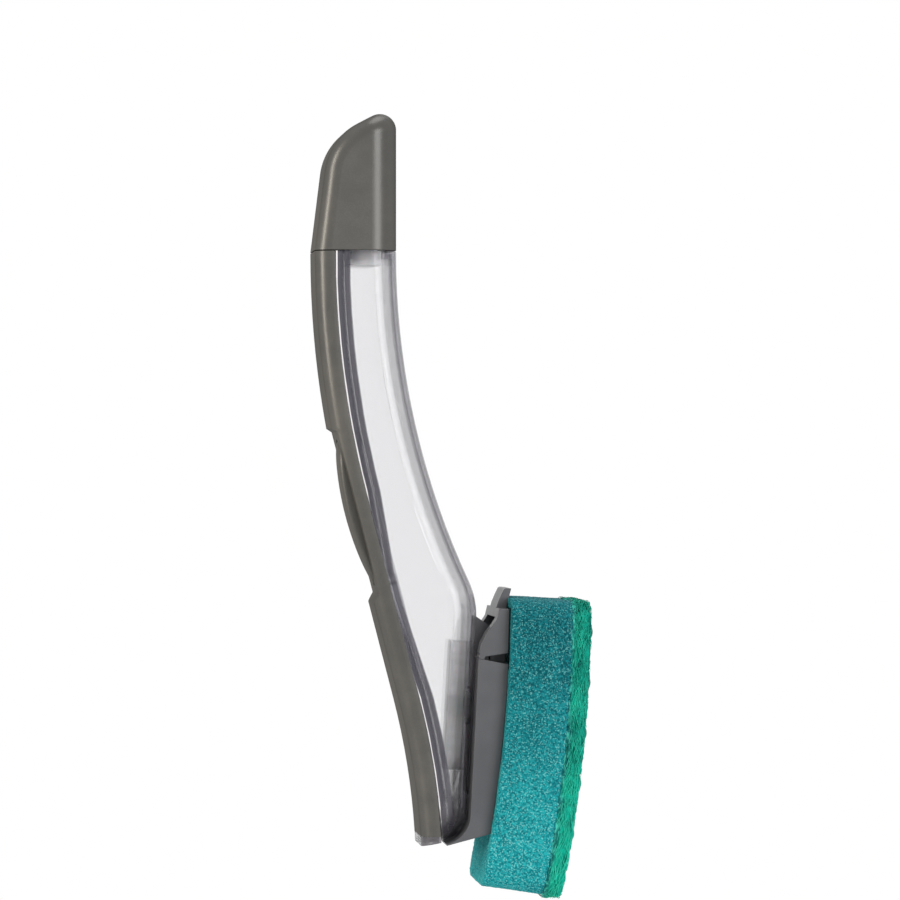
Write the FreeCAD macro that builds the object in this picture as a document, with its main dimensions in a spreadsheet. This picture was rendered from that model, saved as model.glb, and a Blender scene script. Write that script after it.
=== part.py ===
import FreeCAD, Part
import math
import os
import re
import Sketcher

# Dish wand: a clear soap handle with a grey spine, a fill cap, a pump button and a slide-on sponge head.
# Millimetres and degrees. The origin is the middle of the grip, +Z runs up the handle, +X to the sponge.
# Formulas below are texts in the names of the sizes; each is bound to the sheet's cells.

SIZES = [
    # handle, seen from the side
    ("seam_height", 45.6),
    ("handle_width", 32.0),
    ("back_reach", 16.9),
    ("front_reach", 8.4),
    ("edge_round", 5.0),
    ("front_round", 8.0),
    ("rear_round", 0.7),
    ("back_lean", 14.5),
    ("bend_drop", 29.8),
    ("tail_drop", 93.0),
    ("tail_bend_radius", 222.0),
    ("heel_drop", 137.3),
    ("heel_rise", 1.2),
    ("front_lean", 25.0),
    ("knee_drop", 55.8),
    ("knee_radius", 25.0),
    ("wall_lean", 3.0),
    ("toe_rise", 2.9),
    ("toe_radius", 9.0),
    # clear reservoir
    ("tank_wall", 2.2),
    ("rear_wall", 3.0),
    ("floor_thickness", 2.6),
    ("foot_thickness", 3.0),
    ("shoulder_thickness", 2.4),
    ("neck_height", 11.0),
    ("neck_inset", 2.4),
    ("neck_wall", 1.8),
    ("neck_round", 6.0),
    # back spine
    ("spine_wall", 2.2),
    ("spine_end_wall", 3.0),
    # fill cap
    ("cap_height", 45.7),
    ("cap_lean", 7.0),
    ("cap_slope", 28.0),
    ("cap_shoulder_radius", 19.0),
    ("cap_wall", 2.1),
    ("seam_gap", 0.3),
    ("plug_plate", 2.2),
    ("plug_reach", 4.2),
    ("plug_wall", 1.6),
    ("plug_clearance", 0.35),
    ("gasket_height", 1.8),
    ("gasket_depth", 0.9),
    ("gasket_clearance", 0.05),
    # soap button and its pump diaphragm
    ("button_drop", 35.5),
    ("well_margin", 2.75),
    ("well_depth", 2.3),
    ("well_floor", 1.6),
    ("button_length", 46.0),
    ("button_crown", 2.8),
    ("button_rise", 0.5),
    ("button_edge_round", 1.2),
    ("button_clearance", 0.4),
    ("flange_ledge", 1.2),
    ("clamp_height", 1.3),
    ("diaphragm_thickness", 0.8),
    ("diaphragm_rise", 0.2),
    ("rim_width", 2.6),
    ("rim_gap", 1.1),
    # outlet valve in the front wall
    ("outlet_drop", 27.0),
    ("outlet_bore", 12.0),
    ("housing_length", 40.0),
    ("housing_width", 15.6),
    ("housing_thickness", 4.8),
    ("housing_bore", 6.0),
    ("valve_diameter", 9.6),
    ("valve_flange", 1.0),
    ("valve_dome", 2.2),
    ("valve_skin", 0.8),
    ("slit_width", 0.3),
    ("slit_length", 3.6),
    ("retainer_height", 1.6),
    ("seal_wire", 1.6),
    ("fit_clearance", 0.1),
    # rail for the refill
    ("rail_start", 8.0),
    ("rail_length", 46.0),
    ("rail_web_width", 16.0),
    ("rail_width", 22.0),
    ("rail_web_height", 2.2),
    ("rail_height", 4.2),
    ("catch_rise", 0.8),
    ("catch_height", 4.6),
    ("rail_round", 3.0),
    # refill head
    ("slide_gap", 0.35),
    ("carrier_width", 40.0),
    ("carrier_depth", 9.6),
    ("carrier_lift", 1.6),
    ("lip_thickness", 0.5),
    ("soap_hole", 6.0),
    ("hinge_drop", 11.0),
    ("hinge_height", 1.3),
    ("hinge_radius", 1.0),
    ("hinge_clearance", 0.06),
    ("slit_mouth", 3.4),
    ("slit_root", 1.0),
    ("stop_rise", 3.0),
    ("tab_rise", 10.0),
    ("tab_leg", 7.5),
    ("leg_rise", 3.8),
    ("lip_width", 20.0),
    ("lip_round", 0.9),
    ("lip_lean", 1.5),
    ("tab_clearance", 0.3),
    ("tab_relief", 2.2),
    ("pad_crown_drop", 14.0),
    ("pad_bend_radius", 460.0),
    ("pad_rise", 7.2),
    ("pad_toe", 81.3),
    ("pad_slant", 2.4),
    ("pad_width", 50.0),
    ("pad_round", 7.0),
    ("foam_thickness", 19.0),
    ("scour_thickness", 5.6),
    ("dot_diameter", 5.2),
    ("dot_height", 1.1),
    ("dot_pitch", 9.0),
    ("dot_margin", 5.5),
    ("dot_lift", 0.03),
    ("overrun", 2.0),
]

# Turns and directions that the formulas share
FUNCTIONS = ("sin", "cos", "tan", "sqrt", "min", "max")
SIDE_PLANE = "XZ_Plane"
PLAN_PLANE = "XY_Plane"
LEFT = 1
RIGHT = -1

doc = FreeCAD.newDocument("DishWand")
sheet = doc.addObject("Spreadsheet::Sheet", "Sizes")


def fill_sheet():
    """One row for each driving size: its name and its plain number."""
    for row, (name, number) in enumerate(SIZES, 1):
        sheet.set(f"A{row}", name)
        sheet.set(f"B{row}", str(number))
        sheet.setAlias(f"B{row}", name)
    doc.recompute()


def bind(formula):
    """The formula as the document reads it, with the sheet's name before each size."""
    def named(word):
        return word.group() if word.group() in FUNCTIONS else "Sizes." + word.group()
    return re.sub(r"[a-z][a-z_]+", named, str(formula))


def value(formula):
    """The number that a formula gives now."""
    return float(sheet.evalExpression(bind(formula)))


# The handle's back line, from the seam: an arc, a straight run and a reverse arc to the heel
BACK_BEND = "((seam_height + bend_drop) / sin(back_lean))"
BEND_X = f"({BACK_BEND} * (1 - cos(back_lean)) - back_reach)"
BEND_Z = "(-bend_drop)"
TAIL_X = f"({BEND_X} + ({BEND_Z} + tail_drop) * tan(back_lean))"
TAIL_CENTRE_X = f"({TAIL_X} - tail_bend_radius * cos(back_lean))"
TAIL_CENTRE_Z = "(-tail_drop - tail_bend_radius * sin(back_lean))"

# The handle's front line, from the seam: an arc, the knee, the flat wall behind the head and the toe
FRONT_BEND = "((seam_height + knee_drop) / sin(front_lean))"
FRONT_X = f"(front_reach + {FRONT_BEND} * (1 - cos(front_lean)))"
FRONT_Z = "(-knee_drop)"
KNEE_X = f"({FRONT_X} - knee_radius * cos(front_lean))"
KNEE_Z = f"({FRONT_Z} - knee_radius * sin(front_lean))"
WALL_X = f"({KNEE_X} + knee_radius * cos(wall_lean))"
WALL_Z = f"({KNEE_Z} - knee_radius * sin(wall_lean))"
TOE_Z = "(toe_rise - heel_drop)"
TOE_X = f"({WALL_X} - ({WALL_Z} - {TOE_Z}) * tan(wall_lean))"
WALL_LENGTH = f"(({WALL_Z} - {TOE_Z}) / cos(wall_lean))"

# Levels at the heel
FOOT_TOP = "(foot_thickness - heel_drop)"
BASE_REAR = "(heel_rise - heel_drop)"

# The middle of the button, on the straight run of the back line
BUTTON_X = f"({BEND_X} + ({BEND_Z} + button_drop) * tan(back_lean))"
BUTTON_Z = "(-button_drop)"

# Two tilted frames: x runs along the handle and z stands out from its back or from its front wall
BACK_FRAME = {
    "origin": (BUTTON_X, BUTTON_Z),
    "outward": ("-cos(back_lean)", "-sin(back_lean)"),
    "axis": FreeCAD.Vector(0, -1, 0),
    "angle": "90 + back_lean",
}
HEAD_FRAME = {
    "origin": (WALL_X, WALL_Z),
    "outward": ("cos(wall_lean)", "-sin(wall_lean)"),
    "axis": FreeCAD.Vector(0, 1, 0),
    "angle": "90 + wall_lean",
}


def tail_x(inset, level):
    """Where the tail arc, moved inward, passes a level."""
    radius = f"(tail_bend_radius + {inset})"
    return f"({TAIL_CENTRE_X} + sqrt({radius}^2 - ({level} - {TAIL_CENTRE_Z})^2))"


def back_line(inset, top, bottom):
    """The back line moved inward, downward from one level to another."""
    shift_x = f"({inset}) * cos(back_lean)"
    shift_z = f"({inset}) * sin(back_lean)"
    return [
        (f"{inset} - back_reach", top),
        (f"{BEND_X} + {shift_x}", f"{BEND_Z} + {shift_z}", f"{BACK_BEND} - ({inset})", LEFT),
        (f"{TAIL_X} + {shift_x}", f"{shift_z} - tail_drop"),
        (tail_x(f"({inset})", bottom), bottom, f"tail_bend_radius + ({inset})", RIGHT),
    ]


def front_line(inset, top):
    """The front line moved inward, upward from the wall's upper end to a level."""
    knee = f"(knee_radius - ({inset}))"
    bend = f"({FRONT_BEND} + ({inset}))"
    return [
        (f"{KNEE_X} + {knee} * cos(wall_lean)", f"{KNEE_Z} - {knee} * sin(wall_lean)"),
        (f"{KNEE_X} + {knee} * cos(front_lean)", f"{KNEE_Z} + {knee} * sin(front_lean)", knee, LEFT),
        (f"front_reach - ({inset})", top, bend, RIGHT),
    ]


def on_back(along, out):
    """A place by its way up the back from the button's middle and its height out of the back."""
    x = f"({BUTTON_X} - ({along}) * sin(back_lean) - ({out}) * cos(back_lean))"
    return x, f"({BUTTON_Z} + ({along}) * cos(back_lean) - ({out}) * sin(back_lean))"


def pad_z(along, rise):
    """Height over the front wall of the head's curved faces, which share one centre."""
    radius = f"(pad_bend_radius + {rise})"
    return f"(carrier_depth - pad_bend_radius + sqrt({radius}^2 - (({along}) - pad_crown_drop)^2))"


def new_body(label, frame=None):
    """An empty piece, in the part's frame or in one of the two tilted frames."""
    body = doc.addObject("PartDesign::Body", label)
    body.Label = label
    if frame:
        turned = FreeCAD.Rotation(frame["axis"], value(frame["angle"]))
        body.Placement = FreeCAD.Placement(FreeCAD.Vector(), turned)
        body.setExpression("Placement.Base.x", bind(frame["origin"][0]))
        body.setExpression("Placement.Base.z", bind(frame["origin"][1]))
        body.setExpression("Placement.Rotation.Angle", bind(frame["angle"]))
    return body


def new_sketch(body, name, role, height="0", frame=None, shift="0"):
    """An empty sketch on a plane of its piece, raised and shifted, or raised on a tilted frame."""
    sketch = body.newObject("Sketcher::SketchObject", f"{body.Label}_{name}")
    sketch.AttachmentSupport = [(next(p for p in body.Origin.OriginFeatures if p.Role == role), "")]
    sketch.MapMode = "FlatFace"
    if frame:
        turned = FreeCAD.Rotation(frame["axis"], value(frame["angle"]))
        sketch.AttachmentOffset = FreeCAD.Placement(FreeCAD.Vector(), turned)
        sketch.setExpression("AttachmentOffset.Rotation.Angle", bind(frame["angle"]))
        for axis, start, out in zip("xz", frame["origin"], frame["outward"]):
            sketch.setExpression(f"AttachmentOffset.Base.{axis}", bind(f"{start} + ({height}) * ({out})"))
    else:
        sketch.setExpression("AttachmentOffset.Base.x", bind(shift))
        sketch.setExpression("AttachmentOffset.Base.z", bind(height))
    return sketch


def arc_between(start, end, radius, side):
    """The short arc from one point to another that turns left or right."""
    chord = end.sub(start)
    half = chord.Length / 2
    away = math.sqrt(max(radius * radius - half * half, 0))
    normal = FreeCAD.Vector(-chord.y, chord.x, 0).normalize()
    centre = start.add(chord * (1 / 2)).add(normal * (side * away))
    first, last = (start, end) if side == LEFT else (end, start)
    angles = [math.atan2(p.y - centre.y, p.x - centre.x) for p in (first, last)]
    circle = Part.Circle(centre, FreeCAD.Vector(0, 0, 1), radius)
    return Part.ArcOfCircle(circle, angles[0], angles[1])


def outline(sketch, steps):
    """A closed line through the steps: (x, y) by a straight edge, (x, y, radius, side) by an arc."""
    points = [FreeCAD.Vector(value(step[0]), value(step[1]), 0) for step in steps]
    ends = []
    for number, step in enumerate(steps):
        start, end = points[number - 1], points[number]
        if len(step) == 2:
            index = sketch.addGeometry(Part.LineSegment(start, end), False)
            ends.append((index, 1, 2))
        else:
            index = sketch.addGeometry(arc_between(start, end, value(step[2]), step[3]), False)
            ends.append((index, 1, 2) if step[3] == LEFT else (index, 2, 1))
    for number, step in enumerate(steps):
        index, start, end = ends[number]
        following = ends[(number + 1) % len(ends)]
        sketch.addConstraint(Sketcher.Constraint("Coincident", index, end, following[0], following[1]))
        for kind, formula in (("DistanceX", step[0]), ("DistanceY", step[1])):
            bound(sketch, Sketcher.Constraint(kind, -1, 1, index, end, value(formula)), formula)
        if len(step) > 2:
            bound(sketch, Sketcher.Constraint("Radius", index, value(step[2])), step[2])
    return sketch


def bound(sketch, constraint, formula):
    """Adds a measured constraint and ties it to its formula."""
    index = sketch.addConstraint(constraint)
    sketch.setExpression(f"Constraints[{index}]", bind(formula))


def circle(sketch, x, diameter, y="0"):
    """A circle round a place of the sketch."""
    centre = FreeCAD.Vector(value(x), value(y), 0)
    index = sketch.addGeometry(Part.Circle(centre, FreeCAD.Vector(0, 0, 1), value(diameter) / 2), False)
    bound(sketch, Sketcher.Constraint("DistanceX", -1, 1, index, 3, value(x)), x)
    bound(sketch, Sketcher.Constraint("DistanceY", -1, 1, index, 3, value(y)), y)
    bound(sketch, Sketcher.Constraint("Diameter", index, value(diameter)), diameter)
    return sketch


def rounded(sketch, left, right, width, radius):
    """A rectangle with round corners between two x places, as wide to both sides of the x axis."""
    half = f"({width}) / 2"
    inner = f"({width}) / 2 - ({radius})"
    return outline(sketch, [
        (f"{left} + {radius}", f"-({half})", radius, LEFT),
        (f"{right} - ({radius})", f"-({half})"),
        (right, f"-({inner})", radius, LEFT),
        (right, inner),
        (f"{right} - ({radius})", half, radius, LEFT),
        (f"{left} + {radius}", half),
        (left, inner, radius, LEFT),
        (left, f"-({inner})"),
    ])


def stadium(sketch, length, width):
    """A slot outline round the sketch's origin."""
    half = f"({width}) / 2"
    end = f"(({length}) - ({width})) / 2"
    return outline(sketch, [
        (f"-({end})", f"-({half})", half, LEFT),
        (end, f"-({half})"),
        (f"({length}) / 2", "0", half, LEFT),
        (end, half, half, LEFT),
        (f"-({end})", half),
        (f"-({length}) / 2", "0", half, LEFT),
    ])


def grow(body, kind, sketch, length, symmetric=False, reverse=False):
    """A pad or pocket of a sketch; a cut has to take material away."""
    before = body.Shape.Volume if body.Tip else 0
    feature = body.newObject(f"PartDesign::{kind}", f"{sketch.Name}_{kind}")
    feature.Profile = sketch
    feature.setExpression("Length", bind(length))
    feature.SideType = "Symmetric" if symmetric else "One side"
    feature.Reversed = reverse
    doc.recompute()
    change = body.Shape.Volume - before
    if (kind == "Pocket") != (change < 0):
        raise RuntimeError(f"{feature.Name} changes the volume by {change:.3f}")
    return feature


def turn(body, sketch):
    """A full revolution of a sketch about its own vertical axis."""
    feature = body.newObject("PartDesign::Revolution", f"{sketch.Name}_Revolution")
    feature.Profile = sketch
    feature.ReferenceAxis = (sketch, ["V_Axis"])
    doc.recompute()
    return feature


def fillet(body, name, places, radius):
    """Rounds the edges at the given places, with the edges that run on smoothly from them."""
    base = body.Tip
    feature = body.newObject("PartDesign::Fillet", f"{body.Label}_{name}")
    feature.Base = (base, sorted({edge_at_tip(base, place) for place in places}))
    feature.setExpression("Radius", bind(radius))
    doc.recompute()
    return feature


def edge_at_tip(base, place):
    """The name of the edge of a feature that lies nearest to a place."""
    vertex = Part.Vertex(FreeCAD.Vector(*[value(formula) for formula in place]))
    edges = base.Shape.Edges
    nearest = min(range(len(edges)), key=lambda number: edges[number].distToShape(vertex)[0])
    return f"Edge{nearest + 1}"


def both_sides(x, half_width, z):
    """A place on the near side and the same on the far side."""
    return [(x, half_width, z), (x, f"-({half_width})", z)]


def backward(steps):
    """The same line walked the other way."""
    turned = [steps[-1][:2]]
    for number in range(len(steps) - 1, 0, -1):
        bend = steps[number][2:]
        turned.append(steps[number - 1][:2] + ((bend[0], -bend[1]) if bend else ()))
    return turned


# Depths under the back line: well, well floor, clamp frame and diaphragm rim fill the spine
CLAMP_TOP = "(well_depth + well_floor)"
SPINE_DEPTH = f"({CLAMP_TOP} + clamp_height + diaphragm_thickness)"
SPINE_ROUND_SHARE = 0.83
SPINE_ROUND = f"min(edge_round; {SPINE_DEPTH} * {SPINE_ROUND_SHARE})"

# The well is a shelf right across the back, with sloping ends; a tray inside the spine is its floor
WELL_HALF = "(button_length / 2 + well_margin)"
TRAY_HALF = f"({WELL_HALF} + well_depth)"
TRAY_TOP_SHARE = 0.9

# Slot outlines of the pump, one round the other; the widest fits between the spine's side walls
RIM_BORDER = "(rim_width + button_clearance + flange_ledge)"
BUTTON_WIDTH = f"(handle_width - 2 * (spine_wall + rim_gap + {RIM_BORDER}))"
SHAFT = ("button_length", BUTTON_WIDTH)
SHAFT_HOLE = tuple(f"({size} + 2 * button_clearance)" for size in SHAFT)
FLANGE = tuple(f"({size} + 2 * flange_ledge)" for size in SHAFT)
PUMP_OPENING = tuple(f"({size} + 2 * button_clearance)" for size in FLANGE)
PUMP_RIM = tuple(f"({size} + 2 * rim_width)" for size in PUMP_OPENING)

# The fill neck, its bore and the plug in it: left, right, width and corner radius of round rectangles
NECK = (f"({SPINE_DEPTH} - back_reach + neck_inset)", "(front_reach - neck_inset)",
        "(handle_width - 2 * neck_inset)", "neck_round")
LEAST_CORNER_SHARE = 0.25


def inset(shape, depth):
    """A round rectangle drawn in on all sides by a depth; its corners stay a little round."""
    left, right, width, radius = shape
    narrowed = f"({width} - 2 * ({depth}))"
    corner = f"max({radius} - ({depth}); {radius} * {LEAST_CORNER_SHARE})"
    return (f"({left} + ({depth}))", f"({right} - ({depth}))", narrowed, corner)


NECK_BORE = inset(NECK, "neck_wall")
PLUG = inset(NECK_BORE, "plug_clearance")


# Where the reservoir's hollow ends: its ceiling, its rear wall, its floor and the inner toe
CEILING = "(seam_height - shoulder_thickness)"
REAR_INSET = f"({SPINE_DEPTH} + rear_wall)"
FLOOR = f"({BASE_REAR} + floor_thickness)"
FLOOR_X = tail_x(REAR_INSET, FLOOR)
INNER_TOE = (f"({TOE_X} - tank_wall * cos(wall_lean) + floor_thickness * sin(wall_lean))",
             f"({TOE_Z} + tank_wall * sin(wall_lean) + floor_thickness * cos(wall_lean))")
WALL_MIDDLE = (f"({WALL_X} + {TOE_X}) / 2", f"({WALL_Z} + {TOE_Z}) / 2")


def reservoir_hollow():
    """The room for the soap, rounded like the handle's front and cut off straight along the rear wall."""
    body = new_body("reservoir_hollow")
    depth = "(back_reach + front_reach)"
    sunk = f"({INNER_TOE[1]} - ({INNER_TOE[1]} - {FLOOR}) * {depth} / ({INNER_TOE[0]} - {FLOOR_X}))"
    side = [("-back_reach", CEILING), (f"{INNER_TOE[0]} - {depth}", sunk), INNER_TOE]
    side += front_line("tank_wall", CEILING)
    width = "(handle_width - 2 * tank_wall)"
    grow(body, "Pad", outline(new_sketch(body, "side", SIDE_PLANE), side), width, symmetric=True)
    fillet(body, "toe", [(INNER_TOE[0], "0", INNER_TOE[1])], "toe_radius - tank_wall")
    wall_x = f"{WALL_MIDDLE[0]} - tank_wall * cos(wall_lean)"
    wall_z = f"{WALL_MIDDLE[1]} + tank_wall * sin(wall_lean)"
    fillet(body, "edges", both_sides(wall_x, f"{width} / 2", wall_z), "front_round - tank_wall")
    rear = back_line(REAR_INSET, CEILING, FLOOR)
    rear += [(FLOOR_X, f"{sunk} - overrun"), ("-back_reach - overrun", f"{sunk} - overrun"),
             ("-back_reach - overrun", CEILING)]
    grow(body, "Pocket", outline(new_sketch(body, "rear", SIDE_PLANE), rear), "handle_width", symmetric=True)
    return body


def reservoir_shell():
    """The clear handle: a rounded outline, hollowed, with a neck, a foot, a pump opening and an outlet."""
    body = new_body("reservoir_shell")
    side = back_line(SPINE_DEPTH, "seam_height", BASE_REAR)
    side += [(TOE_X, TOE_Z)] + front_line("0", "seam_height")
    grow(body, "Pad", outline(new_sketch(body, "side", SIDE_PLANE), side), "handle_width", symmetric=True)
    fillet(body, "toe", [(TOE_X, "0", TOE_Z)], "toe_radius")
    fillet(body, "edges", both_sides(WALL_MIDDLE[0], "handle_width / 2", WALL_MIDDLE[1]), "front_round")
    rear_middle = on_back("0", f"(-{SPINE_DEPTH})")
    fillet(body, "rear_edges", both_sides(rear_middle[0], "handle_width / 2", rear_middle[1]), "rear_round")
    foot = [
        (tail_x("0", FOOT_TOP), FOOT_TOP),
        (tail_x("0", "-heel_drop"), "-heel_drop", "tail_bend_radius", RIGHT),
        (tail_x(SPINE_DEPTH, BASE_REAR), BASE_REAR),
        (tail_x(SPINE_DEPTH, FOOT_TOP), FOOT_TOP, f"tail_bend_radius + {SPINE_DEPTH}", LEFT),
    ]
    grow(body, "Pad", outline(new_sketch(body, "foot", SIDE_PLANE), foot), "handle_width", symmetric=True)
    heel = f"{FOOT_TOP} - foot_thickness / 2"
    fillet(body, "heel", both_sides(tail_x("0", heel), "handle_width / 2", heel), SPINE_ROUND)
    grow(body, "Pad", rounded(new_sketch(body, "neck", PLAN_PLANE, "seam_height"), *NECK), "neck_height")
    landing = new_sketch(body, "landing", PLAN_PLANE, f"-{SPINE_DEPTH}", BACK_FRAME)
    grow(body, "Pad", stadium(landing, *PUMP_RIM), "rear_wall", reverse=True)
    room = reservoir_hollow()
    cut = body.newObject("PartDesign::Boolean", "reservoir_shell_hollow")
    cut.addObject(room)
    cut.Type = "Cut"
    doc.recompute()
    mouth = new_sketch(body, "mouth", PLAN_PLANE, "seam_height + neck_height")
    grow(body, "Pocket", rounded(mouth, *NECK_BORE), "neck_height + shoulder_thickness + overrun")
    opening = new_sketch(body, "pump_opening", PLAN_PLANE, f"overrun - {SPINE_DEPTH}", BACK_FRAME)
    grow(body, "Pocket", stadium(opening, *PUMP_OPENING), "rear_wall + 2 * overrun")
    outlet = new_sketch(body, "outlet", PLAN_PLANE, "overrun", HEAD_FRAME)
    grow(body, "Pocket", circle(outlet, "outlet_drop", "outlet_bore"), "tank_wall + 2 * overrun")
    return body


def back_spine():
    """The grey channel along the back, with the well across it, the well's floor and the button's hole."""
    body = new_body("back_spine")
    side = back_line("0", "seam_height", FOOT_TOP)
    side += backward(back_line(SPINE_DEPTH, "seam_height", FOOT_TOP))
    grow(body, "Pad", outline(new_sketch(body, "side", SIDE_PLANE), side), "handle_width", symmetric=True)
    fillet(body, "edges", both_sides(BUTTON_X, "handle_width / 2", BUTTON_Z), SPINE_ROUND)
    top = "(seam_height - spine_end_wall)"
    bottom = f"({FOOT_TOP} + spine_end_wall)"
    channel = back_line("spine_wall", top, bottom)
    channel += backward(back_line(f"({SPINE_DEPTH} + overrun)", top, bottom))
    grow(body, "Pocket", outline(new_sketch(body, "channel", SIDE_PLANE), channel),
         "handle_width - 2 * spine_wall", symmetric=True)
    tray = new_sketch(body, "tray", PLAN_PLANE, f"-{CLAMP_TOP}", BACK_FRAME)
    half = "(handle_width / 2 - spine_wall)"
    outline(tray, [
        (f"-{TRAY_HALF}", f"-{half}"),
        (TRAY_HALF, f"-{half}"),
        (TRAY_HALF, half),
        (f"-{TRAY_HALF}", half),
    ])
    grow(body, "Pad", tray, f"{CLAMP_TOP} - spine_wall * {TRAY_TOP_SHARE}")
    well = [
        on_back(f"{WELL_HALF} + well_depth + overrun", "overrun"),
        on_back(WELL_HALF, "-well_depth"),
        on_back(f"-{WELL_HALF}", "-well_depth"),
        on_back(f"-({WELL_HALF} + well_depth + overrun)", "overrun"),
    ]
    grow(body, "Pocket", outline(new_sketch(body, "well", SIDE_PLANE), well), "handle_width + overrun",
         symmetric=True)
    hole = new_sketch(body, "button_hole", PLAN_PLANE, "overrun", BACK_FRAME)
    grow(body, "Pocket", stadium(hole, *SHAFT_HOLE), f"{CLAMP_TOP} + 2 * overrun")
    return body


# The cap's crown, seen from the side: the back leans in and the top slopes up to the front
CAP_FOOT = "(seam_height + seam_gap)"


def shoulder(reach, height):
    """Where the cap's leaning back meets its sloping top, for a back reach and a height of the front."""
    run = f"(({height} - front_reach * tan(cap_slope)) * tan(cap_lean) - {reach})"
    x = f"({run} / (1 - tan(cap_slope) * tan(cap_lean)))"
    return x, f"(seam_height + {height} - (front_reach - {x}) * tan(cap_slope))"


# The hollow in the cap's foot, which takes the neck and the plug's plate
PLATE_FOOT = f"({CAP_FOOT} + neck_height)"
PLATE_TOP = f"({PLATE_FOOT} + plug_plate)"
PLATE_LEAN = f"(({PLATE_TOP} - seam_height) * tan(cap_lean))"
CAP_HOLLOW = (f"({PLATE_LEAN} + cap_wall - back_reach)", "(front_reach - cap_wall)",
              "(handle_width - 2 * cap_wall)", "(front_round - cap_wall)")


def fill_cap():
    """The grey cap: a leaning, sloping crown with rounded edges, hollow over the neck."""
    body = new_body("fill_cap")
    crest = shoulder("back_reach", "cap_height")
    side = [
        crest,
        ("-back_reach", CAP_FOOT),
        ("front_reach", CAP_FOOT),
        ("front_reach", "seam_height + cap_height"),
    ]
    grow(body, "Pad", outline(new_sketch(body, "side", SIDE_PLANE), side), "handle_width", symmetric=True)
    front_edges = both_sides("front_reach", "handle_width / 2", "seam_height + cap_height / 2")
    fillet(body, "front", front_edges, "front_round")
    fillet(body, "shoulder", [(crest[0], "0", crest[1])], "cap_shoulder_radius")
    fillet(body, "rim", [("front_reach", "0", "seam_height + cap_height")], SPINE_ROUND)
    hollow = rounded(new_sketch(body, "hollow", PLAN_PLANE, CAP_FOOT), *CAP_HOLLOW)
    grow(body, "Pocket", hollow, f"{PLATE_TOP} - {CAP_FOOT}", reverse=True)
    inner_reach = "(back_reach - cap_wall / cos(cap_lean))"
    inner_x, inner_z = shoulder(inner_reach, "(cap_height - cap_wall / cos(cap_slope))")
    bend = "(cap_shoulder_radius - cap_wall)"
    bend_run = f"({bend} * tan((90 - cap_lean - cap_slope) / 2))"
    front_x = "(front_reach - cap_wall)"
    front_z = "(seam_height + cap_height - cap_wall * (1 / cos(cap_slope) + tan(cap_slope)))"
    brow = f"({SPINE_ROUND} - cap_wall)"
    brow_run = f"({brow} * tan((90 + cap_slope) / 2))"
    cavity = [
        (f"{inner_x} + {bend_run} * cos(cap_slope)", f"{inner_z} + {bend_run} * sin(cap_slope)"),
        (f"{inner_x} - {bend_run} * sin(cap_lean)", f"{inner_z} - {bend_run} * cos(cap_lean)", bend, LEFT),
        (f"{PLATE_LEAN} - {inner_reach}", PLATE_TOP),
        (front_x, PLATE_TOP),
        (front_x, f"{front_z} - {brow_run}"),
        (f"{front_x} - {brow_run} * cos(cap_slope)", f"{front_z} - {brow_run} * sin(cap_slope)", brow, LEFT),
    ]
    crown = outline(new_sketch(body, "cavity", SIDE_PLANE), cavity)
    grow(body, "Pocket", crown, "handle_width - 4 * cap_wall", symmetric=True)
    return body


# The groove round the plug, half way up the neck
GROOVE_FOOT = "(seam_height + (neck_height - gasket_height) / 2)"


def cap_plug():
    """The plate fixed in the cap and the hollow plug under it, with a groove for the gasket."""
    body = new_body("cap_plug")
    plate = rounded(new_sketch(body, "plate", PLAN_PLANE, PLATE_FOOT), *CAP_HOLLOW)
    grow(body, "Pad", plate, "plug_plate")
    cup = new_sketch(body, "cup", PLAN_PLANE, PLATE_FOOT)
    grow(body, "Pad", rounded(cup, *PLUG), "neck_height + seam_gap + plug_reach", reverse=True)
    core = new_sketch(body, "core", PLAN_PLANE, PLATE_TOP)
    core_depth = "plug_plate + neck_height + seam_gap + plug_reach - plug_wall"
    grow(body, "Pocket", rounded(core, *inset(PLUG, "plug_wall + gasket_depth")), core_depth)
    groove = new_sketch(body, "groove", PLAN_PLANE, GROOVE_FOOT)
    rounded(groove, *NECK_BORE)
    rounded(groove, *inset(PLUG, "gasket_depth"))
    grow(body, "Pocket", groove, "gasket_height", reverse=True)
    return body


def cap_gasket():
    """The seal in the plug's groove, which meets the neck's bore."""
    body = new_body("cap_gasket")
    ring = new_sketch(body, "ring", PLAN_PLANE, GROOVE_FOOT)
    rounded(ring, *inset(NECK_BORE, "gasket_clearance"))
    rounded(ring, *inset(PLUG, "gasket_depth"))
    grow(body, "Pad", ring, "gasket_height")
    return body


def soap_button():
    """The crowned push button, held under the well's floor by its flange."""
    body = new_body("soap_button", BACK_FRAME)
    flange_top = f"(-{CLAMP_TOP} - fit_clearance)"
    shaft = new_sketch(body, "shaft", PLAN_PLANE, flange_top)
    grow(body, "Pad", stadium(shaft, *SHAFT), f"button_rise - {flange_top}")
    crown_radius = "((button_length / 2)^2 + button_crown^2) / (2 * button_crown)"
    crown = [
        ("button_length / 2", "button_rise - button_crown", crown_radius, RIGHT),
        ("button_length / 2", "button_rise + overrun"),
        ("-button_length / 2", "button_rise + overrun"),
        ("-button_length / 2", "button_rise - button_crown"),
    ]
    crown_sketch = outline(new_sketch(body, "crown", SIDE_PLANE), crown)
    grow(body, "Pocket", crown_sketch, f"{BUTTON_WIDTH} + overrun", symmetric=True)
    fillet(body, "rim", both_sides("0", f"{BUTTON_WIDTH} / 2", "button_rise"), "button_edge_round")
    flange = new_sketch(body, "flange", PLAN_PLANE, flange_top)
    flange_height = "clamp_height - diaphragm_rise - 2 * fit_clearance"
    grow(body, "Pad", stadium(flange, *FLANGE), flange_height, reverse=True)
    return body


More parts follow.
